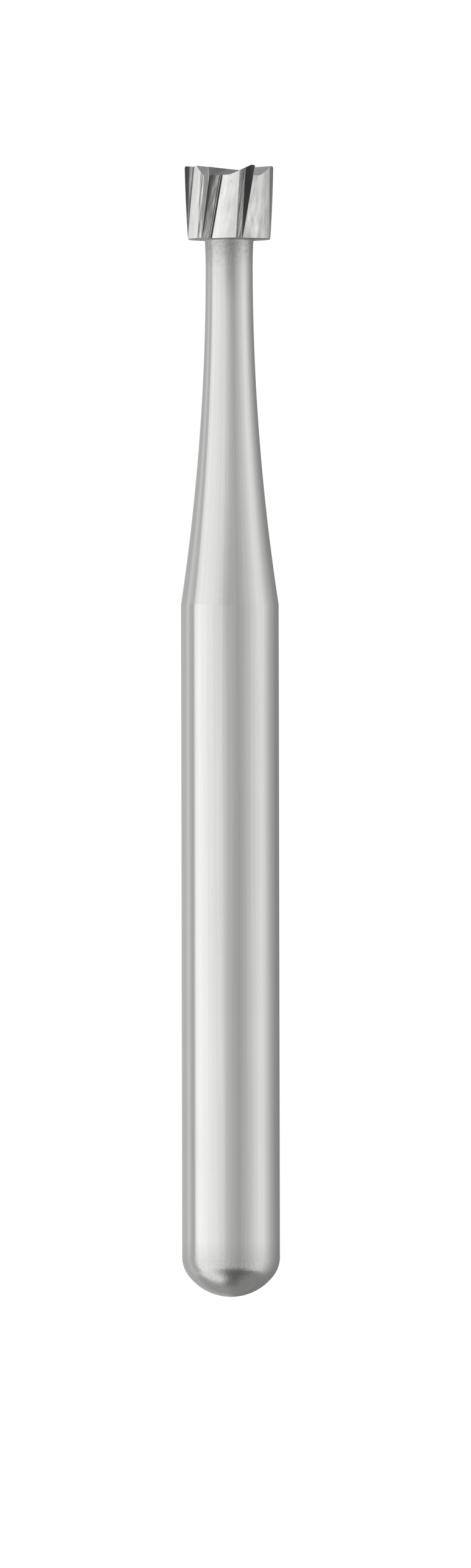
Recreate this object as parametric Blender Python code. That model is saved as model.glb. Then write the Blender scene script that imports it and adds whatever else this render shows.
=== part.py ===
"""Dental bur, inverted cone with six blades, for a friction-grip handpiece.

It is one piece of tungsten carbide, ground from a round rod. The model goes the same way: a turned blank,
six helical flutes cut into its head, and six gashes that make the teeth on its end. It stands in its own
frame with its axis on Z, the domed shank end at the origin and the head up. Lengths are in metres. Angles
round the axis start at the front, which is -Y, and grow towards +X.
"""

import math

import bmesh
import bpy
from mathutils import Vector

MM = 0.001

# Shank, which the handpiece's chuck grips. Its dome is a little flatter than half a ball: the dome's
# radius is the shank's own and this much more.
SHANK_DIAMETER = 1.60 * MM
SHANK_LENGTH = 11.34 * MM
DOME_FLATNESS = 0.071 * MM
DOME_EDGE_ROUND = 0.50 * MM

# Neck, which flares from its waist down to the shank and a little up to the head
NECK_LENGTH = 5.985 * MM
WAIST_DIAMETER = 0.770 * MM
WAIST_BELOW_HEAD = 0.46 * MM
THROAT_DIAMETER = 0.795 * MM
ROOT_FILLET = 0.04 * MM

# Head, an inverted cone that is widest at its cutting end
HEAD_LENGTH = 1.20 * MM
HEAD_TIP_DIAMETER = 1.458 * MM
HEAD_BASE_DIAMETER = 1.372 * MM
HEAD_BASE_ROUND = 0.03 * MM
HEAD_TIP_ROUND = 0.03 * MM
END_DISH = 0.043 * MM

# Flutes, which lean to the right going up and are deepest at the cutting end. Going round from a blade,
# each has the blade's rake face, a long back that rises to the next blade, and that blade's land, which is
# steeper and ends in a narrow margin at the cutting edge. One kind of flute in three has a floor that falls
# to a valley and a small step between its rake face and its back.
BLADES = 6
FIRST_BLADE_ANGLE = math.radians(-83.8)
FLUTE_LEAD = 25.5 * MM
RAKE_ANGLE = math.radians(5)
RAKE_DEPTH_TIP = 0.145 * MM
RAKE_DEPTH_BASE = 0.012 * MM
LAND_TIP = 0.175 * MM
LAND_BASE = 0.040 * MM
LAND_CLEARANCE = math.radians(18)
MARGIN = 0.010 * MM
VALLEYS = (False, True, False)
NO_VALLEY_ANGLE = math.radians(3)
VALLEY_ANGLE = math.radians(12.5)
VALLEY_FALL_TIP = 0.022 * MM
VALLEY_FALL_BASE = 0.010 * MM
STEP_ANGLE = math.radians(3.5)
STEP_HEIGHT = 0.008 * MM

# Teeth on the cutting end, in three kinds that repeat after half a turn. Each tooth's lead is how far its
# edge stands ahead of its blade, and its land is the strip left whole behind that edge. In front of the
# edge lies the tooth's gash, which has a floor of its own depth between two angles and climbs from there
# to the next tooth. The climb starts at an angle, a radius and a depth: at the centre, or past it in the
# one kind whose tooth crosses the end. The drops are how far the six edges are below the tip at the rim.
END_TEETH = (
    {"lead": math.radians(28), "land": math.radians(42)},
    {"lead": math.radians(-4.2), "land": 0},
    {"lead": 0, "land": math.radians(6)},
)
GASHES = (
    {"floor": (math.radians(46), math.radians(48)), "depth": 0.175 * MM, "climb": (0, 0, END_DISH)},
    {
        "floor": (math.radians(-2.5), math.radians(23)),
        "depth": 0.175 * MM,
        "climb": (math.radians(163), 0.46 * MM, 0.039 * MM),
    },
    {"floor": (0, math.radians(4)), "depth": 0.185 * MM, "climb": (0, 0, END_DISH)},
)
DROPS = (0, 0.033 * MM, 0, 0, 0.047 * MM, 0)

# Fineness of the round surfaces
TURNED_SEGMENTS = 60
FLARE_STEPS = 14
DOME_STEPS = 8
FLUTE_LAYERS = 8
BACK_STEPS = 4
MERGE_DISTANCE = 0.0001 * MM
EDGE_ANGLE = math.radians(25)

HEAD_BASE_HEIGHT = SHANK_LENGTH + NECK_LENGTH
TIP_HEIGHT = HEAD_BASE_HEIGHT + HEAD_LENGTH
SHANK_RADIUS = SHANK_DIAMETER / 2
DOME_RADIUS = SHANK_RADIUS + DOME_FLATNESS
WAIST_RADIUS = WAIST_DIAMETER / 2
WAIST_HEIGHT = HEAD_BASE_HEIGHT - WAIST_BELOW_HEAD
TIP_RADIUS = HEAD_TIP_DIAMETER / 2
BASE_RADIUS = HEAD_BASE_DIAMETER / 2
PITCH = math.tau / BLADES
CUTTER_REACH = 0.2 * MM
CUTTER_OVERRUN = 0.05
CUTTER_SPREAD = 1.4


def arc(centre, radius, start, end, steps):
    """Points (r, z) along an arc, both ends included, with angles from +r towards +z."""
    for step in range(steps + 1):
        angle = start + (end - start) * step / steps
        yield centre[0] + radius * math.cos(angle), centre[1] + radius * math.sin(angle)


def dome_outline():
    """The round shank end: a cap on the axis, and a tighter round that meets the shank's side."""
    across = SHANK_RADIUS - DOME_EDGE_ROUND
    along = math.sqrt((DOME_RADIUS - DOME_EDGE_ROUND) ** 2 - across**2)
    meeting = math.atan2(-along, across)
    yield from arc((0, DOME_RADIUS), DOME_RADIUS, -math.pi / 2, meeting, DOME_STEPS)
    edge_centre = (across, DOME_RADIUS - along)
    yield from arc(edge_centre, DOME_EDGE_ROUND, meeting, 0, DOME_STEPS // 2)


def neck_outline():
    """The flare, an arc that ends upright at the waist, the shorter one above it, and the head's fillet."""
    fall = SHANK_RADIUS - WAIST_RADIUS
    run = WAIST_HEIGHT - SHANK_LENGTH
    flare = (run**2 + fall**2) / (2 * fall)
    spread = math.asin(run / flare)
    yield from arc((WAIST_RADIUS + flare, WAIST_HEIGHT), flare, math.pi + spread, math.pi, FLARE_STEPS)
    rise = THROAT_DIAMETER / 2 - WAIST_RADIUS
    throat = (WAIST_BELOW_HEAD**2 + rise**2) / (2 * rise)
    spread = math.asin((WAIST_BELOW_HEAD - ROOT_FILLET) / throat)
    yield from arc((WAIST_RADIUS + throat, WAIST_HEIGHT), throat, math.pi, math.pi - spread, 4)
    fillet = (THROAT_DIAMETER / 2 + ROOT_FILLET, HEAD_BASE_HEIGHT - ROOT_FILLET)
    yield from arc(fillet, ROOT_FILLET, math.pi, math.pi / 2, 3)


def head_outline():
    """The underside, the cone's side between the small rounds at its two rims, and the dished cutting end."""
    base_rim = (BASE_RADIUS - HEAD_BASE_ROUND, HEAD_BASE_HEIGHT + HEAD_BASE_ROUND)
    yield from arc(base_rim, HEAD_BASE_ROUND, -math.pi / 2, 0, 2)
    tip_rim = (TIP_RADIUS - HEAD_TIP_ROUND, TIP_HEIGHT - HEAD_TIP_ROUND)
    yield from arc(tip_rim, HEAD_TIP_ROUND, 0, math.pi / 2, 3)
    yield 0, TIP_HEIGHT - END_DISH


def blank_mesh():
    """The turned blank: the half outline spun round the axis."""
    bm = bmesh.new()
    outline = [*dome_outline(), *neck_outline(), *head_outline()]
    corners = [bm.verts.new((r, 0, z)) for r, z in outline]
    edges = [bm.edges.new(pair) for pair in zip(corners, corners[1:])]
    bmesh.ops.spin(
        bm,
        geom=corners + edges,
        axis=(0, 0, 1),
        cent=(0, 0, 0),
        angle=math.tau,
        steps=TURNED_SEGMENTS,
        use_merge=True,
    )
    bmesh.ops.remove_doubles(bm, verts=bm.verts, dist=MERGE_DISTANCE)
    return finished(bm, "bur")


def polar(angle, radius, height):
    return Vector((radius * math.sin(angle), -radius * math.cos(angle), height))


def flute_section(height, kind):
    """Outline across one flute at this height, from the blade before it to the blade after it."""
    share = (height - HEAD_BASE_HEIGHT) / HEAD_LENGTH

    def along_head(at_base, at_tip):
        return at_base + (at_tip - at_base) * share

    skin = along_head(BASE_RADIUS, TIP_RADIUS)
    foot = skin - along_head(RAKE_DEPTH_BASE, RAKE_DEPTH_TIP)
    land = along_head(LAND_BASE, LAND_TIP)
    if VALLEYS[kind]:
        valley_angle, valley = VALLEY_ANGLE, foot - along_head(VALLEY_FALL_BASE, VALLEY_FALL_TIP)
        back_angle, back = VALLEY_ANGLE + STEP_ANGLE, valley + STEP_HEIGHT
    else:
        valley_angle, valley = NO_VALLEY_ANGLE, foot
        back_angle, back = NO_VALLEY_ANGLE + STEP_ANGLE, foot
    heel_angle = PITCH - (MARGIN + land) / skin
    heel = skin - land * math.tan(LAND_CLEARANCE)
    exit_angle = PITCH - MARGIN / skin / 2
    outside = TIP_RADIUS / math.cos(PITCH / 2) + CUTTER_REACH
    foot_angle = (skin - foot) * math.tan(RAKE_ANGLE) / foot
    points = [(0, outside), (0, skin), (foot_angle, foot), (valley_angle, valley)]
    for step in range(BACK_STEPS + 1):
        way = step / BACK_STEPS
        points.append((back_angle + (heel_angle - back_angle) * way, back + (heel - back) * way))
    points.append((exit_angle, skin + MARGIN / 2 * math.tan(LAND_CLEARANCE)))
    points.append((exit_angle, outside))
    turn = PITCH * kind + math.tau * (height - TIP_HEIGHT) / FLUTE_LEAD
    return [polar(turn + angle, radius, height) for angle, radius in points]


def loft(bm, sections):
    """A closed body through outlines with the same number of points, with a flat face at each end."""
    end = bm.faces.new([bm.verts.new(point) for point in sections[0]])
    inner = []
    for section in sections[1:]:
        grown = bmesh.ops.extrude_face_region(bm, geom=[end])
        end = next(item for item in grown["geom"] if isinstance(item, bmesh.types.BMFace))
        for corner, point in zip(end.verts, section):
            corner.co = point
        inner.append(end)
    bmesh.ops.delete(bm, geom=inner[:-1], context="FACES_ONLY")


def flute_cutter():
    """The space that the grinding wheel sweeps along each flute: its three kinds, which come twice."""
    bm = bmesh.new()
    bottom = HEAD_BASE_HEIGHT - CUTTER_REACH / 4
    top = TIP_HEIGHT + CUTTER_REACH / 4
    heights = [bottom + (top - bottom) * layer / FLUTE_LAYERS for layer in range(FLUTE_LAYERS + 1)]
    for kind in range(len(VALLEYS)):
        loft(bm, [flute_section(height, kind) for height in heights])
    bmesh.ops.spin(
        bm,
        geom=bm.verts[:] + bm.edges[:] + bm.faces[:],
        axis=(0, 0, 1),
        cent=(0, 0, 0),
        angle=math.pi,
        steps=1,
        use_duplicate=True,
    )
    return finished(bm, "flute_cutter")


def gash_cutter(number):
    """The wedge ground away between two end teeth, from the rim inwards and open above."""
    tooth = END_TEETH[number % len(END_TEETH)]
    following = END_TEETH[(number + 1) % len(END_TEETH)]
    gash = GASHES[number % len(GASHES)]
    floor = TIP_HEIGHT - gash["depth"]
    rim = [polar(tooth["lead"], TIP_RADIUS, TIP_HEIGHT - DROPS[number])]
    rim += [polar(angle, TIP_RADIUS, floor) for angle in gash["floor"]]
    next_heel = PITCH + following["lead"] - following["land"]
    rim.append(polar(next_heel, TIP_RADIUS, TIP_HEIGHT - DROPS[(number + 1) % BLADES]))
    rim[-1] += (rim[-1] - rim[-2]) * CUTTER_OVERRUN
    centre = Vector((0, 0, TIP_HEIGHT - END_DISH))
    angle, radius, depth = gash["climb"]
    climb = polar(angle, radius, TIP_HEIGHT - depth)
    corners = [centre, climb, *[centre + (point - centre) * CUTTER_SPREAD for point in rim[:2]]]
    corners += [climb + (point - climb) * CUTTER_SPREAD for point in rim[2:]]
    corners += [(point[0], point[1], TIP_HEIGHT + CUTTER_REACH) for point in corners]
    bm = bmesh.new()
    hull = [bm.verts.new(point) for point in dict.fromkeys(tuple(point) for point in corners)]
    bmesh.ops.convex_hull(bm, input=hull)
    return finished(bm, "gash_cutter_%d" % number)


def finished(bm, name):
    """The mesh with its faces pointing out, smooth but for its real edges."""
    bmesh.ops.recalc_face_normals(bm, faces=bm.faces)
    mesh = bpy.data.meshes.new(name)
    bm.to_mesh(mesh)
    bm.free()
    mesh.shade_smooth()
    mesh.set_sharp_from_angle(angle=EDGE_ANGLE)
    return mesh


def carbide():
    """Tungsten carbide as ground: a grey metal, a little darker and warmer than steel."""
    material = bpy.data.materials.new("tungsten_carbide")
    material.use_nodes = True
    shader = material.node_tree.nodes["Principled BSDF"]
    shader.inputs["Base Color"].default_value = (0.52, 0.52, 0.50, 1)
    shader.inputs["Metallic"].default_value = 1
    shader.inputs["Roughness"].default_value = 0.3
    return material


def add_object(name, mesh, turn=0.0):
    placed = bpy.data.objects.new(name, mesh)
    placed.rotation_euler.z = turn
    bpy.context.collection.objects.link(placed)
    return placed


def cut(blank, mesh, turn):
    """Takes a cutter's space, turned about the axis, out of the blank."""
    cutter = add_object(mesh.name, mesh, turn)
    cutter.hide_render = True
    cutter.display_type = "WIRE"
    boolean = blank.modifiers.new(mesh.name, "BOOLEAN")
    boolean.operation = "DIFFERENCE"
    boolean.object = cutter


def main():
    for old in list(bpy.data.objects):
        bpy.data.objects.remove(old)
    bur = add_object("bur", blank_mesh())
    bur.data.materials.append(carbide())
    cut(bur, flute_cutter(), FIRST_BLADE_ANGLE)
    for number in range(BLADES):
        cut(bur, gash_cutter(number), FIRST_BLADE_ANGLE + number * PITCH)


main()
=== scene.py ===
"""Dental bur, inverted cone with six blades: its looks, in metres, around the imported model.

The bur is one piece of ground tungsten carbide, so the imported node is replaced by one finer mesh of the
same form. It stands in its own frame: axis on Z, the domed shank end at the origin and the head up.
Angles round the axis start at the front, which is -Y, and grow towards +X.
"""

import math

import bmesh
import bpy
from mathutils import Matrix, Vector


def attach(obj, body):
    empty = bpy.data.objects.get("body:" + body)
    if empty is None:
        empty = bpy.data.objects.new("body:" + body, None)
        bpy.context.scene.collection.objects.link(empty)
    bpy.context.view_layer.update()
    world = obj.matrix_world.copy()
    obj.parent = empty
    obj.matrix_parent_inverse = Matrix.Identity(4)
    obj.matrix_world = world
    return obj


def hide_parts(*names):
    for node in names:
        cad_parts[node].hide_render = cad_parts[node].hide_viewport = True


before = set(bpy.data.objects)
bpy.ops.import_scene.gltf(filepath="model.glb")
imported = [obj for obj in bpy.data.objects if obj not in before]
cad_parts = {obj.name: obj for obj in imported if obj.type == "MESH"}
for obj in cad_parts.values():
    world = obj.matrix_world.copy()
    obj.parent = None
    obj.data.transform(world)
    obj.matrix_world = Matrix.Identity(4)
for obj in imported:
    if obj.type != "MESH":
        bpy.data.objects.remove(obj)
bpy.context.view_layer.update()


# The bur, one piece of tungsten carbide. Its shank and neck are ground round, its six flutes are ground
# along a helix that leans to the right, and six short gashes make the teeth of its cutting end. Each
# kind of ground surface has its own finish, because each wheel leaves its own. Some finishes also hold
# painted shade: the dark flute floors, the almost black grooves, the head's underside, the neck right under
# the head and the pits.

MM = 0.001
SHANK_RADIUS = 0.80 * MM
SHANK_LENGTH = 11.34 * MM
DOME_RADIUS = 0.871 * MM
DOME_EDGE_ROUND = 0.50 * MM
WAIST_RADIUS = 0.385 * MM
WAIST_HEIGHT = 16.865 * MM
THROAT_RADIUS = 0.3975 * MM
ROOT_FILLET = 0.04 * MM
HEAD_BASE = 17.325 * MM
HEAD_TIP = 18.525 * MM
BASE_RADIUS = 0.686 * MM
TIP_RADIUS = 0.729 * MM
BASE_ROUND = 0.03 * MM
TIP_ROUND = 0.03 * MM
END_DISH = 0.043 * MM
BLADES = 6
PITCH = math.tau / BLADES
FIRST_BLADE = math.radians(-83.8)
LEAD = 25.5 * MM
FINISHES = ("shank", "rake", "floor", "line", "back", "clouded", "stripe", "land", "gash", "underside")

# How finely the round surfaces are divided, and how sharp an edge has to be to stay one
TURNED_SEGMENTS = 180
DOME_STEPS = 24
DOME_EDGE_STEPS = 12
FLARE_STEPS = 72
THROAT_STEPS = 10
ROUND_STEPS = 6
STRAIGHT_SHARES = [step / 10 for step in range(1, 10)]
FLUTE_LAYERS = 30
RAKE_STEPS = 4
ROOT_STEPS = 8
BACK_STEPS = 9
STRIPE_STEPS = 5
LAND_STEPS = 3
EDGE_ANGLE = math.radians(14)
HAIR = 0.001 * MM


def arc(centre, radius, start, end, steps):
    """Points (r, z) along an arc, both ends included, with angles from +r towards +z."""
    for step in range(steps + 1):
        angle = start + (end - start) * step / steps
        yield centre[0] + radius * math.cos(angle), centre[1] + radius * math.sin(angle)


def bur_outline():
    """Half the outline of the turned blank: the dome, the shank, the neck's two arcs and the head."""
    across = SHANK_RADIUS - DOME_EDGE_ROUND
    along = math.sqrt((DOME_RADIUS - DOME_EDGE_ROUND) ** 2 - across**2)
    meeting = math.atan2(-along, across)
    yield from arc((0, DOME_RADIUS), DOME_RADIUS, -math.pi / 2, meeting, DOME_STEPS)
    yield from arc((across, DOME_RADIUS - along), DOME_EDGE_ROUND, meeting, 0, DOME_EDGE_STEPS)
    for share in STRAIGHT_SHARES:
        yield SHANK_RADIUS, DOME_RADIUS + (SHANK_LENGTH - DOME_RADIUS) * share
    fall = SHANK_RADIUS - WAIST_RADIUS
    run = WAIST_HEIGHT - SHANK_LENGTH
    flare = (run**2 + fall**2) / (2 * fall)
    spread = math.asin(run / flare)
    waist = (WAIST_RADIUS + flare, WAIST_HEIGHT)
    yield from arc(waist, flare, math.pi + spread, math.pi, FLARE_STEPS)
    rise = THROAT_RADIUS - WAIST_RADIUS
    below = HEAD_BASE - WAIST_HEIGHT
    throat = (below**2 + rise**2) / (2 * rise)
    spread = math.asin((below - ROOT_FILLET) / throat)
    waist = (WAIST_RADIUS + throat, WAIST_HEIGHT)
    yield from arc(waist, throat, math.pi, math.pi - spread, THROAT_STEPS)
    fillet = (THROAT_RADIUS + ROOT_FILLET, HEAD_BASE - ROOT_FILLET)
    yield from arc(fillet, ROOT_FILLET, math.pi, math.pi / 2, ROUND_STEPS)
    rim = (BASE_RADIUS - BASE_ROUND, HEAD_BASE + BASE_ROUND)
    yield from arc(rim, BASE_ROUND, -math.pi / 2, 0, ROUND_STEPS)
    for share in STRAIGHT_SHARES:
        yield BASE_RADIUS + (TIP_RADIUS - BASE_RADIUS) * share, HEAD_BASE + (HEAD_TIP - HEAD_BASE) * share
    rim = (TIP_RADIUS - TIP_ROUND, HEAD_TIP - TIP_ROUND)
    yield from arc(rim, TIP_ROUND, 0, math.pi / 2, ROUND_STEPS)
    yield 0, HEAD_TIP - END_DISH


def polar(angle, radius, height):
    return Vector((radius * math.sin(angle), -radius * math.cos(angle), height))


def mesh_object(bm, name, turn=0.0):
    """An object for a finished mesh, which holds every finish in the same order."""
    bmesh.ops.recalc_face_normals(bm, faces=bm.faces)
    mesh = bpy.data.meshes.new(name)
    bm.to_mesh(mesh)
    bm.free()
    for finish in FINISHES:
        mesh.materials.append(finishes[finish])
    placed = bpy.data.objects.new(name, mesh)
    placed.rotation_euler.z = turn
    bpy.context.scene.collection.objects.link(placed)
    return placed


def blank():
    """The turned blank: half its outline spun round the axis, with the finish that each height gets."""
    bm = bmesh.new()
    corners = [bm.verts.new((r, 0, z)) for r, z in bur_outline()]
    edges = [bm.edges.new(pair) for pair in zip(corners, corners[1:])]
    bmesh.ops.spin(
        bm, geom=corners + edges, axis=(0, 0, 1), cent=(0, 0, 0),
        angle=math.tau, steps=TURNED_SEGMENTS, use_merge=True,
    )
    bmesh.ops.remove_doubles(bm, verts=bm.verts, dist=HAIR / 10)
    for face in bm.faces:
        height = face.calc_center_median().z
        if height > HEAD_TIP - TIP_ROUND:
            face.material_index = FINISHES.index("gash")
        elif height > HEAD_BASE + BASE_ROUND / 3:
            face.material_index = FINISHES.index("land")
        elif height > HEAD_BASE - ROOT_FILLET / 2:
            face.material_index = FINISHES.index("underside")
    return mesh_object(bm, "bur")


# The flutes come in three kinds that repeat after half a turn, as the wheel was set between them: how far
# the floor reaches round from the blade in degrees, the share of the rake face that is rounded into it, its
# finish, whether it ends in a ribbed valley, the finish of the back, and how many degrees its stripes take.
# The first two kinds take the dark floor finish, which is painted shade in their floors.
FLUTES = (
    {"floor_end": 8, "root": 0.5, "floor": "floor", "valley": 0, "back": "back", "stripe": 7},
    {"floor_end": 10.5, "root": 0.1, "floor": "floor", "valley": 1, "back": "back", "stripe": 8},
    {"floor_end": 7, "root": 0.6, "floor": "clouded", "valley": 0, "back": "clouded", "stripe": 3},
)
# In mm, at the head's base and at its tip: how deep the rake face is, how far a valley falls below its foot,
# how high the ribs in it are, and how wide the land is.
RAKE_DEPTH = (0.012, 0.145)
VALLEY_FALL = (0.010, 0.022)
RIB_HEIGHT = (0.002, 0.008)
LAND = (0.015, 0.150)
# The ribs' edges past the start of the valley, and the place where the back starts
RIB_ANGLES = (math.radians(1.2), math.radians(2.6), math.radians(3.6))
VALLEY_WIDTH = math.radians(5.5)
RAKE_ANGLE = math.radians(5)
LAND_CLEARANCE = math.radians(18)
MARGIN = 0.006 * MM
BACK_CROWN = 0.05
CUTTER_REACH = 0.2 * MM
CUTTER_OVERRUN = 0.05 * MM


def flute_section(height, kind):
    """Outline across one flute from blade to blade: each point, and the finish of the stretch it starts."""
    share = max(0.0, (height - HEAD_BASE) / (HEAD_TIP - HEAD_BASE))

    def along_head(at_base, at_tip):
        return at_base + (at_tip - at_base) * share

    flute = FLUTES[kind]
    skin = along_head(BASE_RADIUS, TIP_RADIUS)
    foot = skin - along_head(*RAKE_DEPTH) * MM
    valley = foot - along_head(*VALLEY_FALL) * MM * flute["valley"]
    rib = along_head(*RIB_HEIGHT) * MM * flute["valley"]
    land = along_head(*LAND) * MM
    clearance = math.tan(LAND_CLEARANCE)
    root_start = foot + (skin - foot) * flute["root"]
    foot_angle = (skin - root_start) * math.tan(RAKE_ANGLE) / foot
    valley_angle = math.radians(flute["floor_end"])
    back_angle = valley_angle + VALLEY_WIDTH * flute["valley"]
    back = valley + rib
    heel_angle = PITCH - (MARGIN + land) / skin
    heel = skin - land * clearance
    exit_angle = PITCH - MARGIN / skin / 2
    outside = TIP_RADIUS / math.cos(PITCH / 2) + CUTTER_REACH

    yield 0, outside, "rake"
    for station in range(RAKE_STEPS):
        way = station / RAKE_STEPS
        yield foot_angle * way, skin + (root_start - skin) * way, "rake"
    for station in range(ROOT_STEPS):
        bend = math.pi / 2 * station / ROOT_STEPS
        angle = foot_angle + (valley_angle - foot_angle) * (1 - math.cos(bend))
        yield angle, root_start + (valley - root_start) * math.sin(bend), flute["floor"]
    # The valley's grooves take the almost black line finish, which is painted shade.
    if flute["valley"]:
        yield valley_angle, valley, "line"
        yield valley_angle + RIB_ANGLES[0], valley + rib, "floor"
        yield valley_angle + RIB_ANGLES[1], valley + rib, "line"
        yield valley_angle + RIB_ANGLES[2], valley, "line"
    stripe_start = (heel_angle - math.radians(flute["stripe"]) - back_angle) / (heel_angle - back_angle)
    ways = [stripe_start * station / BACK_STEPS for station in range(BACK_STEPS)]
    ways += [stripe_start + (1 - stripe_start) * station / STRIPE_STEPS for station in range(STRIPE_STEPS)]
    for station, way in enumerate(ways):
        crown = BACK_CROWN * (heel - back) * math.sin(math.pi * way)
        finish = flute["back"] if station < BACK_STEPS else "stripe"
        yield back_angle + (heel_angle - back_angle) * way, back + (heel - back) * way + crown, finish
    for station in range(LAND_STEPS + 1):
        way = station / LAND_STEPS
        top = skin + MARGIN / 2 * clearance
        yield heel_angle + (exit_angle - heel_angle) * way, heel + (top - heel) * way, "land"
    yield exit_angle, outside, "land"


def flutes():
    """The space that the wheel sweeps along each flute, lofted through its sections."""
    bm = bmesh.new()
    bottom = HEAD_BASE - CUTTER_OVERRUN
    top = HEAD_TIP + CUTTER_OVERRUN
    for kind in range(len(FLUTES)):
        end = None
        inner = []
        for layer in range(FLUTE_LAYERS + 1):
            height = bottom + (top - bottom) * layer / FLUTE_LAYERS
            turn = math.tau * (height - HEAD_TIP) / LEAD + PITCH * kind
            section = list(flute_section(height, kind))
            points = [polar(turn + angle, radius, height) for angle, radius, finish in section]
            if end is None:
                end = bm.faces.new([bm.verts.new(point) for point in points])
                continue
            grown = bmesh.ops.extrude_face_region(bm, geom=[end])
            end = next(item for item in grown["geom"] if isinstance(item, bmesh.types.BMFace))
            corners = list(end.verts)
            for corner, point in zip(corners, points):
                corner.co = point
            for number, (angle, radius, finish) in enumerate(section):
                edge = bm.edges.get((corners[number], corners[(number + 1) % len(corners)]))
                for face in edge.link_faces:
                    if face is not end:
                        face.material_index = FINISHES.index(finish)
            inner.append(end)
        bmesh.ops.delete(bm, geom=inner[:-1], context="FACES_ONLY")
    bmesh.ops.spin(
        bm, geom=bm.verts[:] + bm.edges[:] + bm.faces[:], axis=(0, 0, 1), cent=(0, 0, 0),
        angle=math.pi, steps=1, use_duplicate=True,
    )
    return mesh_object(bm, "flutes", FIRST_BLADE)


# Each end tooth's edge ahead of its blade and the land behind that edge, in degrees. Then its gash: the
# floor's two angles in degrees and its depth in mm. Then where the climb to the next tooth starts: an angle
# in degrees, a radius and a depth in mm. In one kind that is past the centre, so the edge behind it crosses
# the end. The three kinds repeat after half a turn.
END_TEETH = (
    {"lead": 28, "land": 42, "floor": (46, 48), "depth": 0.175, "climb": (0, 0, 0.043)},
    {"lead": -4.2, "land": 0, "floor": (-2.5, 23), "depth": 0.175, "climb": (163, 0.46, 0.039)},
    {"lead": 0, "land": 6, "floor": (0, 17), "depth": 0.185, "climb": (0, 0, 0.043)},
)
# How far each of the six edges is below the tip at the rim, in mm
DROPS = (0, 0.033, 0, 0, 0.047, 0)
NEXT_TOOTH_OVERLAP = 0.05
GASH_SPREAD = 1.4


def gash(number):
    """The wedge ground away between two end teeth, from the rim to the centre and open above."""
    tooth = END_TEETH[number % len(END_TEETH)]
    following = END_TEETH[(number + 1) % len(END_TEETH)]
    next_heel = math.degrees(PITCH) + following["lead"] - following["land"]
    stations = [(tooth["lead"], DROPS[number])]
    stations += [(angle, tooth["depth"]) for angle in tooth["floor"]]
    stations.append((next_heel, DROPS[(number + 1) % BLADES]))
    rim = [polar(math.radians(angle), TIP_RADIUS, HEAD_TIP - fall * MM) for angle, fall in stations]
    rim[-1] += (rim[-1] - rim[-2]) * NEXT_TOOTH_OVERLAP
    centre = Vector((0, 0, HEAD_TIP - END_DISH))
    angle, radius, fall = tooth["climb"]
    climb = polar(math.radians(angle), radius * MM, HEAD_TIP - fall * MM)
    corners = [centre, climb, *[centre + (point - centre) * GASH_SPREAD for point in rim[:2]]]
    corners += [climb + (point - climb) * GASH_SPREAD for point in rim[2:]]
    corners += [(point[0], point[1], HEAD_TIP + CUTTER_REACH) for point in corners]
    bm = bmesh.new()
    hull = [bm.verts.new(point) for point in dict.fromkeys(tuple(point) for point in corners)]
    bmesh.ops.convex_hull(bm, input=hull)
    for face in bm.faces:
        face.material_index = FINISHES.index("gash")
    return mesh_object(bm, "gash_%d" % number, FIRST_BLADE + number * PITCH)


# Small pits in the back of one flute, where the sintered carbide lost a few grains: each pit's middle, just
# outside the surface, and its radius, in mm.
PITS = (
    ((0.037, -0.642, 18.250), 0.015),
    ((0.047, -0.647, 18.230), 0.011),
    ((-0.113, -0.613, 18.063), 0.012),
)


def pit(number):
    middle, radius = PITS[number]
    bm = bmesh.new()
    bmesh.ops.create_icosphere(
        bm, subdivisions=2, radius=radius * MM, matrix=Matrix.Translation([place * MM for place in middle])
    )
    # A pit takes the greyer clouded finish, darker than the back round it, which is painted shade inside the
    # pit.
    for face in bm.faces:
        face.material_index = FINISHES.index("clouded")
    return mesh_object(bm, "pit_%d" % number)


def linear(colour):
    """An sRGB hex colour as linear red, green, blue and alpha."""
    parts = [int(colour[start : start + 2], 16) / 255 for start in (1, 3, 5)]
    return (*[part / 12.92 if part <= 0.04045 else ((part + 0.055) / 1.055) ** 2.4 for part in parts], 1.0)


def add(tree, kind, settings=None, **links):
    """Adds a node. A setting names a property or a socket, and a link names a socket: name=output. An
    underscore and a number name a socket by its place."""
    node = tree.nodes.new(kind)
    for name, value in (settings or {}).items():
        if hasattr(node, name):
            setattr(node, name, value)
        else:
            node.inputs[int(name[1:]) if name[1:].isdigit() else name].default_value = value
    for name, output in links.items():
        socket = node.inputs[int(name[1:])] if name[1:].isdigit() else node.inputs[name.replace("_", " ")]
        tree.links.new(output, socket)
    return node


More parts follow.
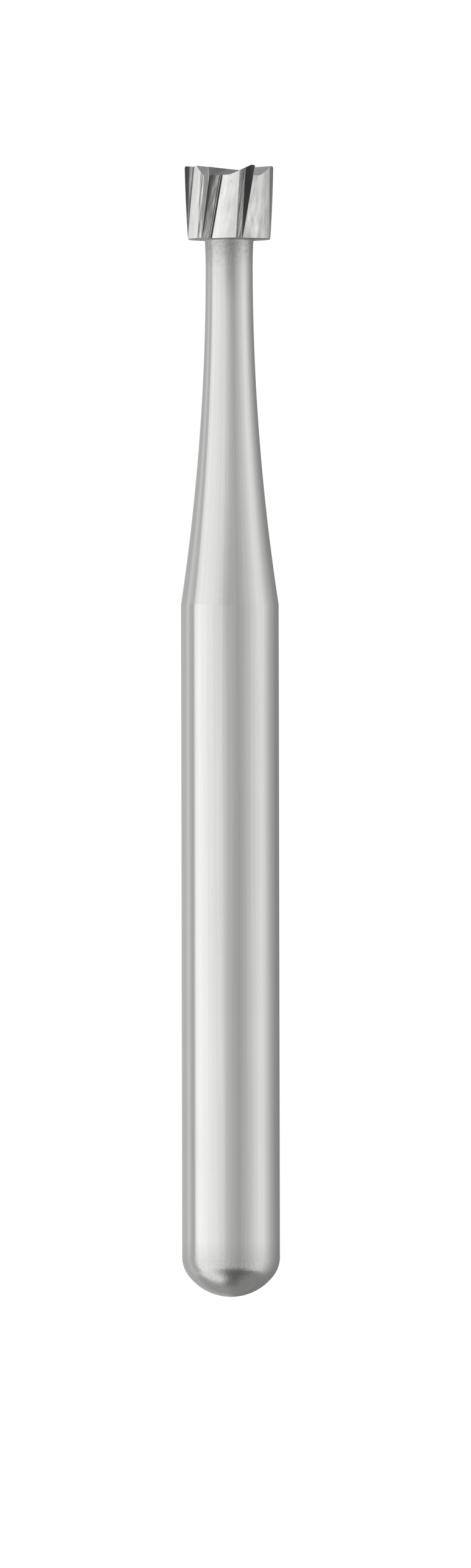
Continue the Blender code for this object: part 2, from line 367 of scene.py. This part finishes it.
def carbide(
    name, light, dark, streak, length, contrast, rough, grain, depth,
    cloud=0.6, clouding=0.4, lead=None, metallic=1.0, bar=False,
):
    """Ground tungsten carbide. The wheel leaves streaks along its travel, this wide and long in mm, clouds
    where it loaded, and a fine grain. They change the colour by the contrast, the gloss between the two
    roughnesses and the surface by the depth in mm. The travel follows a helix of this lead, or a round
    bar's own side, or else the axis."""
    material = bpy.data.materials.new(name)
    material.use_nodes = True
    tree = material.node_tree
    shader = tree.nodes["Principled BSDF"]
    shader.inputs["Metallic"].default_value = metallic
    place = add(tree, "ShaderNodeTexCoord").outputs["Object"]
    if lead:
        height = add(tree, "ShaderNodeSeparateXYZ", _0=place).outputs["Z"]
        turn = add(
            tree, "ShaderNodeMath", {"operation": "MULTIPLY", "_1": -math.tau / lead}, _0=height
        ).outputs[0]
        place = add(
            tree, "ShaderNodeVectorRotate", {"rotation_type": "Z_AXIS"}, Vector=place, Angle=turn
        ).outputs[0]
    travel = place
    if bar:
        side = add(
            tree, "ShaderNodeVectorMath", {"operation": "MULTIPLY", "_1": (1, 1, 0)}, _0=place
        ).outputs[0]
        side = add(tree, "ShaderNodeVectorMath", {"operation": "NORMALIZE"}, _0=side).outputs[0]
        along = add(
            tree, "ShaderNodeVectorMath", {"operation": "MULTIPLY", "_1": (0, 0, 1)}, _0=place
        ).outputs[0]
        round_bar = (SHANK_RADIUS, SHANK_RADIUS, 0)
        travel = add(
            tree, "ShaderNodeVectorMath", {"operation": "MULTIPLY_ADD", "_1": round_bar}, _0=side, _2=along
        ).outputs[0]
    across = 1 / (streak * MM)
    streaks = add(
        tree, "ShaderNodeMapping", {"Scale": (across, across, 1 / (length * MM))}, Vector=travel
    ).outputs[0]
    streaks = add(tree, "ShaderNodeTexNoise", {"Scale": 1.0, "Detail": 4.0, "Roughness": 0.6}, Vector=streaks)
    speckle = add(tree, "ShaderNodeTexNoise", {"Scale": 1 / (grain * MM), "Detail": 2.0}, Vector=place)
    clouds = add(tree, "ShaderNodeMapping", {"Scale": (1, 1, 0.3)}, Vector=place).outputs[0]
    clouds = add(tree, "ShaderNodeTexNoise", {"Scale": 1 / (cloud * MM), "Detail": 3.0}, Vector=clouds)
    amount = add(
        tree, "ShaderNodeMapRange", {"From Min": 0.5 - 0.5 / contrast, "From Max": 0.5 + 0.5 / contrast},
        Value=streaks.outputs["Fac"],
    ).outputs[0]
    speckling = 0.5
    mixed = add(
        tree, "ShaderNodeMath", {"operation": "MULTIPLY_ADD", "_1": speckling},
        _0=speckle.outputs["Fac"], _2=amount,
    ).outputs[0]
    clouded = add(
        tree, "ShaderNodeMath", {"operation": "MULTIPLY_ADD", "_1": clouding},
        _0=clouds.outputs["Fac"], _2=mixed,
    ).outputs[0]
    mean = 0.5 * speckling + 0.5 * clouding
    shift = add(
        tree, "ShaderNodeMath", {"operation": "SUBTRACT", "use_clamp": True, "_1": mean}, _0=clouded
    ).outputs[0]
    colour = add(
        tree, "ShaderNodeMix", {"data_type": "RGBA", "_6": linear(dark), "_7": linear(light)}, _0=shift
    ).outputs[2]
    tree.links.new(colour, shader.inputs["Base Color"])
    roughness = add(tree, "ShaderNodeMapRange", {"To Min": rough[1], "To Max": rough[0]}, Value=shift)
    tree.links.new(roughness.outputs[0], shader.inputs["Roughness"])
    bump = add(tree, "ShaderNodeBump", {"Strength": 1.0, "Distance": depth * MM}, Height=mixed)
    tree.links.new(bump.outputs[0], shader.inputs["Normal"])
    return material


def mottle(material, zone_start, zone_whole, size, detail, dull_and_shade, rough, depth):
    """Adds a mottled zone to a finish. It starts at one height on the bur and is whole at another, in mm,
    and its edge wanders. Its blotches have this size in mm. They roughen and pit the surface and mix in a
    grey: a duller finish on the dome and the neck, painted shade right under the head."""
    tree = material.node_tree
    shader = tree.nodes["Principled BSDF"]
    place = add(tree, "ShaderNodeTexCoord").outputs["Object"]
    height = add(tree, "ShaderNodeSeparateXYZ", _0=place).outputs["Z"]
    blotch = add(
        tree, "ShaderNodeTexNoise", {"Scale": 1 / (size * MM), "Detail": detail}, Vector=place
    ).outputs["Fac"]
    edge_wander = 0.1 * MM
    wander = add(
        tree, "ShaderNodeMath", {"operation": "MULTIPLY_ADD", "_1": edge_wander}, _0=blotch, _2=height
    ).outputs[0]
    mask = add(
        tree, "ShaderNodeMapRange", {"From Min": zone_start * MM, "From Max": zone_whole * MM}, Value=wander
    ).outputs[0]
    amount = add(tree, "ShaderNodeMath", {"operation": "MULTIPLY"}, _0=mask, _1=blotch).outputs[0]
    colour, roughness, normal = (
        shader.inputs[name].links[0].from_socket for name in ("Base Color", "Roughness", "Normal")
    )
    dulled_and_shaded = add(tree, "ShaderNodeMix", {"data_type": "RGBA", "_7": linear(dull_and_shade)}, _0=amount, _6=colour)
    tree.links.new(dulled_and_shaded.outputs[2], shader.inputs["Base Color"])
    rougher = add(tree, "ShaderNodeMath", {"operation": "MULTIPLY_ADD", "_1": rough}, _0=mask, _2=roughness)
    tree.links.new(rougher.outputs[0], shader.inputs["Roughness"])
    pitted = add(
        tree, "ShaderNodeBump", {"Strength": 1.0, "Distance": depth * MM}, Height=amount, Normal=normal
    )
    tree.links.new(pitted.outputs[0], shader.inputs["Normal"])


finishes = {
    # The shank and neck, ground between two wheels: satin, with faint streaks that run down the bar
    "shank": carbide(
        "carbide_ground_shank", "#D7D7D6", "#C7C7C5", streak=0.022, length=6.0, contrast=1.6,
        rough=(0.16, 0.21), grain=0.02, depth=0.00025, bar=True,
    ),
    # A blade's front, ground by the wheel's flat side: almost a mirror, so it goes dark or bright at once
    "rake": carbide(
        "carbide_ground_rake", "#C0C0C1", "#868688", streak=0.020, length=0.3, contrast=1.6,
        rough=(0.10, 0.20), grain=0.015, depth=0.0005, cloud=0.10, clouding=0.8, lead=LEAD,
    ),
    # A flute's floor, with marks along the flute. Its dark colour is painted shade, where the blade beside it
    # hides the floor.
    "floor": carbide(
        "carbide_floor_painted_shade", "#ABABA9", "#5E5E5C", streak=0.020, length=0.5, contrast=2.2,
        rough=(0.30, 0.42), grain=0.015, depth=0.0015, cloud=0.12, clouding=1.0, lead=LEAD,
    ),
    # The valley's grooves, almost black: painted shade in the grooves
    "line": carbide(
        "carbide_line_painted_shade", "#565655", "#2E2E2D", streak=0.012, length=0.5, contrast=1.5,
        rough=(0.40, 0.50), grain=0.015, depth=0.0010, cloud=0.15, clouding=0.5, lead=LEAD,
    ),
    # A flute's back, ground by the wheel's soft face: pale and matt, with faint clouds
    "back": carbide(
        "carbide_ground_back", "#F3F3F2", "#D2D2D0", streak=0.035, length=0.5, contrast=1.0,
        rough=(0.42, 0.52), grain=0.020, depth=0.0014, cloud=0.10, clouding=1.6, lead=LEAD, metallic=0.5,
    ),
    # The same back where the wheel loaded: greyer, with stronger clouds
    "clouded": carbide(
        "carbide_clouded_back", "#E6E6E5", "#B6B6B4", streak=0.045, length=0.4, contrast=1.2,
        rough=(0.40, 0.50), grain=0.020, depth=0.0014, cloud=0.09, clouding=1.9, lead=LEAD, metallic=0.7,
    ),
    # The strip beside a land, where coarse grit left light and dark stripes
    "stripe": carbide(
        "carbide_striped_back", "#F0F0EE", "#6A6A68", streak=0.026, length=0.8, contrast=3.2,
        rough=(0.26, 0.40), grain=0.015, depth=0.0016, cloud=0.10, clouding=0.8, lead=LEAD,
    ),
    # A land, honed last with the finest grit: almost a mirror
    "land": carbide(
        "carbide_polished_land", "#BABABB", "#98989A", streak=0.020, length=0.4, contrast=1.6,
        rough=(0.10, 0.18), grain=0.015, depth=0.0004, cloud=0.10, clouding=0.6, lead=LEAD,
    ),
    # The end's gashes, each ground in one short pass: even, mid grey and matt
    "gash": carbide(
        "carbide_ground_gash", "#A8A8A6", "#808080", streak=0.03, length=0.1, contrast=1.6,
        rough=(0.34, 0.46), grain=0.015, depth=0.0008,
    ),
    # The head's underside, left as it was turned: rough, and a little darker than the neck, which is painted
    # shade under the head
    "underside": carbide(
        "carbide_turned_underside_painted_shade", "#C5C5C3", "#9A9A97", streak=0.04, length=0.1, contrast=1.6,
        rough=(0.40, 0.50), grain=0.02, depth=0.0012,
    ),
}
# The domed end is tumbled to a fine orange peel. The neck's top is made duller where the head's wheel ran
# out, and right under the head it is darker still, which is painted shade under the head.
mottle(finishes["shank"], 1.00, 0.65, size=0.035, detail=4.0, dull_and_shade="#B4B4B1", rough=0.05, depth=0.0024)
mottle(finishes["shank"], 16.35, 16.85, size=0.10, detail=2.0, dull_and_shade="#C6C6C4", rough=0.08, depth=0.0010)
# Painted shade: the neck right under the head is mixed with a darker grey.
mottle(finishes["shank"], 16.90, 17.25, size=0.05, detail=2.0, dull_and_shade="#9C9C9A", rough=0.02, depth=0.0012)

bur = blank()
cutters = [flutes()]
cutters += [gash(number) for number in range(BLADES)]
cutters += [pit(number) for number in range(len(PITS))]
for cutter in cutters:
    boolean = bur.modifiers.new(cutter.name, "BOOLEAN")
    boolean.operation = "DIFFERENCE"
    boolean.object = cutter
graph = bpy.context.evaluated_depsgraph_get()
whole = bpy.data.meshes.new_from_object(bur.evaluated_get(graph))
bur.modifiers.clear()
bur.data = whole
for cutter in cutters:
    bpy.data.objects.remove(cutter)
whole.shade_smooth()
whole.set_sharp_from_angle(angle=EDGE_ANGLE)
for edge in whole.edges:
    if all(abs(whole.vertices[corner].co.z - SHANK_LENGTH) < HAIR for corner in edge.vertices):
        edge.use_edge_sharp = True  # the shoulder is a corner, though a blunt one
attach(bur, "root")
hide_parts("bur")


# The light tent, a round box of paper about the bur, which only the metal sees. A soft light stands at
# the left from back to front, a weaker one at the right, and the gap between them is where the camera is.
# Each level is the paper's brightness at an angle round the axis in degrees, with white at 1. The wall is
# more even higher up, where only the neck throws it back. The foot is the round of table below the dome.

WALL = (
    (-180, 0.55), (-130, 0.67), (-117, 0.90), (-105, 0.60), (-94, 0.45), (-91, 1.40), (-75, 1.45),
    (-20, 1.05), (-10, 0.75), (20, 0.50), (45, 0.78), (70, 1.10), (84, 1.10), (105, 0.65), (130, 0.38),
    (160, 0.28),
)
WALL_ABOVE = (
    (-180, 0.52), (-130, 0.62), (-117, 0.90), (-105, 0.68), (-95, 0.58), (-90, 1.20), (-75, 1.25),
    (-45, 1.12), (-20, 1.12), (0, 0.80), (20, 0.58), (45, 0.80), (70, 1.10), (84, 1.10), (105, 0.67),
    (130, 0.40), (160, 0.28),
)
FOOT = (
    (-180, 0.45), (-130, 0.50), (-110, 0.42), (-105, 1.25), (-60, 1.25), (-35, 0.70), (-12, 0.20),
    (30, 0.14), (50, 0.24), (85, 0.38), (130, 0.36),
)
FOOT_MIDDLE = ((-180, 0.22), (180, 0.22))
# The second levels' share at each height on the wall, and at each radius on the foot, in mm
WALL_BLEND = ((12, 0), (17, 1), (27, 1), (30.5, 0))
FOOT_BLEND = ((1.5, 1), (3.5, 0))
WALL_RADIUS = 60 * MM
WALL_HEIGHT = 90 * MM
TABLE_HEIGHT = -11.9 * MM
FOOT_RADIUS = 15 * MM
FOOT_ABOVE_TABLE = 0.1 * MM
TENT_SIDES = 96
BRIGHTEST = 2.0


def ramp(tree, share, stops):
    """Grey levels along the way from 0 to 1, each with its place on it."""
    node = add(tree, "ShaderNodeValToRGB", _0=share)
    marks = node.color_ramp.elements
    while len(marks) < len(stops):
        marks.new(0.5)
    for mark, (position, level) in zip(marks, stops):
        mark.position = position
        mark.color = (level, level, level, 1)
    return node.outputs[0]


def paper(name, levels, others=None, along=None, blend=None):
    """Glowing paper whose level changes round the axis. It can blend into other levels along its height or
    its radius."""
    material = bpy.data.materials.new(name)
    material.use_nodes = True
    tree = material.node_tree
    tree.nodes.clear()
    place = add(tree, "ShaderNodeTexCoord").outputs["Object"]
    across = add(tree, "ShaderNodeSeparateXYZ", _0=place)
    front = add(
        tree, "ShaderNodeMath", {"operation": "MULTIPLY", "_1": -1}, _0=across.outputs["Y"]
    ).outputs[0]
    angle = add(tree, "ShaderNodeMath", {"operation": "ARCTAN2"}, _0=across.outputs["X"], _1=front).outputs[0]
    turn = add(
        tree, "ShaderNodeMapRange", {"From Min": -math.pi, "From Max": math.pi}, Value=angle
    ).outputs[0]
    rings = [
        ramp(tree, turn, [((degrees + 180) / 360, level / BRIGHTEST) for degrees, level in ring])
        for ring in (levels, others) if ring
    ]
    colour = rings[0]
    if others:
        away = add(tree, "ShaderNodeVectorMath", {"operation": "LENGTH"}, _0=place).outputs["Value"]
        way = across.outputs["Z"] if along == "height" else away
        way = add(tree, "ShaderNodeMapRange", {"From Max": WALL_RADIUS}, Value=way).outputs[0]
        way = ramp(tree, way, [(at * MM / WALL_RADIUS, part) for at, part in blend])
        colour = add(tree, "ShaderNodeMix", {"data_type": "RGBA"}, _0=way, _6=colour, _7=rings[1]).outputs[2]
    glow = add(tree, "ShaderNodeEmission", {"Strength": BRIGHTEST}, Color=colour)
    add(tree, "ShaderNodeOutputMaterial", Surface=glow.outputs[0])
    return material


def stage_object(name, bm, material, only_metal=True):
    """A stage object, which the metal alone sees unless said otherwise."""
    mesh = bpy.data.meshes.new(name)
    bm.to_mesh(mesh)
    bm.free()
    mesh.materials.append(material)
    placed = bpy.data.objects.new(name, mesh)
    bpy.context.scene.collection.objects.link(placed)
    if only_metal:
        for flag in ("visible_camera", "visible_diffuse", "visible_shadow", "visible_transmission"):
            setattr(placed, flag, False)
    return placed


def disc(radius, sides):
    bm = bmesh.new()
    bmesh.ops.create_circle(bm, cap_ends=True, segments=sides, radius=radius)
    return bm


tent = bmesh.new()
bmesh.ops.create_cone(
    tent, cap_ends=False, segments=TENT_SIDES, radius1=WALL_RADIUS, radius2=WALL_RADIUS, depth=WALL_HEIGHT,
    matrix=Matrix.Translation((0, 0, TABLE_HEIGHT + WALL_HEIGHT / 2)),
)
stage_object("tent_wall", tent, paper("wall_paper", WALL, WALL_ABOVE, "height", WALL_BLEND))
table = stage_object("tent_table", disc(WALL_RADIUS, TENT_SIDES), paper("table_paper", WALL))
table.location.z = TABLE_HEIGHT
foot_paper = paper("foot_paper", FOOT, FOOT_MIDDLE, "radius", FOOT_BLEND)
foot = stage_object("tent_foot", disc(FOOT_RADIUS, TENT_SIDES), foot_paper)
foot.location.z = TABLE_HEIGHT + FOOT_ABOVE_TABLE


def plain(name, colour, roughness):
    """A plain matt stage material."""
    material = bpy.data.materials.new(name)
    material.use_nodes = True
    shader = material.node_tree.nodes["Principled BSDF"]
    shader.inputs["Base Color"].default_value = linear(colour)
    shader.inputs["Roughness"].default_value = roughness
    return material


# Two black flags, which only the head's polished lands and rake faces throw back. Each has its distance from
# the axis, and for its lower and upper edge two angles round the axis and a height in mm. They lean as the
# flutes do.
FLAGS = ((10, (-22, 26, 17.8), (-4, 37, 20.1)), (15, (-40, 2, 12.7), (-24, 8, 15.0)))
FLAG_PANELS = 6
felt = plain("black_felt", "#3C3C3D", 1.0)
for number, (distance, low, high) in enumerate(FLAGS):
    flag = bmesh.new()
    rows = []
    for left, right, height in (low, high):
        angles = [math.radians(left + (right - left) * step / FLAG_PANELS) for step in range(FLAG_PANELS + 1)]
        rows.append([flag.verts.new(polar(angle, distance * MM, height * MM)) for angle in angles])
    for column in range(FLAG_PANELS):
        flag.faces.new((rows[0][column], rows[0][column + 1], rows[1][column + 1], rows[1][column]))
    stage_object("flag_%d" % number, flag, felt)

# The floor, a plain pale disc below the picture's edge.
FLOOR_RADIUS = 55 * MM
FLOOR_HEIGHT = -12 * MM
FLOOR_SIDES = 128
pale_card = plain("pale_card", "#F2F2F2", 0.9)
floor = stage_object("floor", disc(FLOOR_RADIUS, FLOOR_SIDES), pale_card, only_metal=False)
floor.location.z = FLOOR_HEIGHT

# White studio: the same plain white for the camera, for the metal and for the light.
world = bpy.data.worlds.new("studio")
world.use_nodes = True
world.node_tree.nodes["Background"].inputs["Color"].default_value = (1, 1, 1, 1)
world.node_tree.nodes["Background"].inputs["Strength"].default_value = 1.0
bpy.context.scene.world = world
bpy.context.scene.view_settings.view_transform = "Standard"

# The camera, level and far away, as the photograph's long lens was. In its picture the bur's axis and its
# domed end are at this column and row at the foot, and the bur leans by a tenth of a degree.
PICTURE_WIDTH = 773
PICTURE_HEIGHT = 2576
PIXEL = MM / 100.25
AXIS_COLUMN = 377.75
DOME_ROW = 2130.5
LEAN = math.atan(0.00194)
DISTANCE = 215 * MM
lens = bpy.data.cameras.new("camera")
lens.sensor_fit = "VERTICAL"
lens.sensor_height = 24
lens.lens = lens.sensor_height * DISTANCE / (PICTURE_HEIGHT * PIXEL)
lens.clip_start = 0.001
camera = bpy.data.objects.new("camera", lens)
bpy.context.scene.collection.objects.link(camera)
aside = (PICTURE_WIDTH / 2 - AXIS_COLUMN) * PIXEL
level = (DOME_ROW - PICTURE_HEIGHT / 2) * PIXEL
camera.matrix_world = (
    Matrix.Translation((aside, -DISTANCE, level))
    @ Matrix.Rotation(math.pi / 2, 4, "X")
    @ Matrix.Rotation(-LEAN, 4, "Z")
)
bpy.context.scene.camera = camera
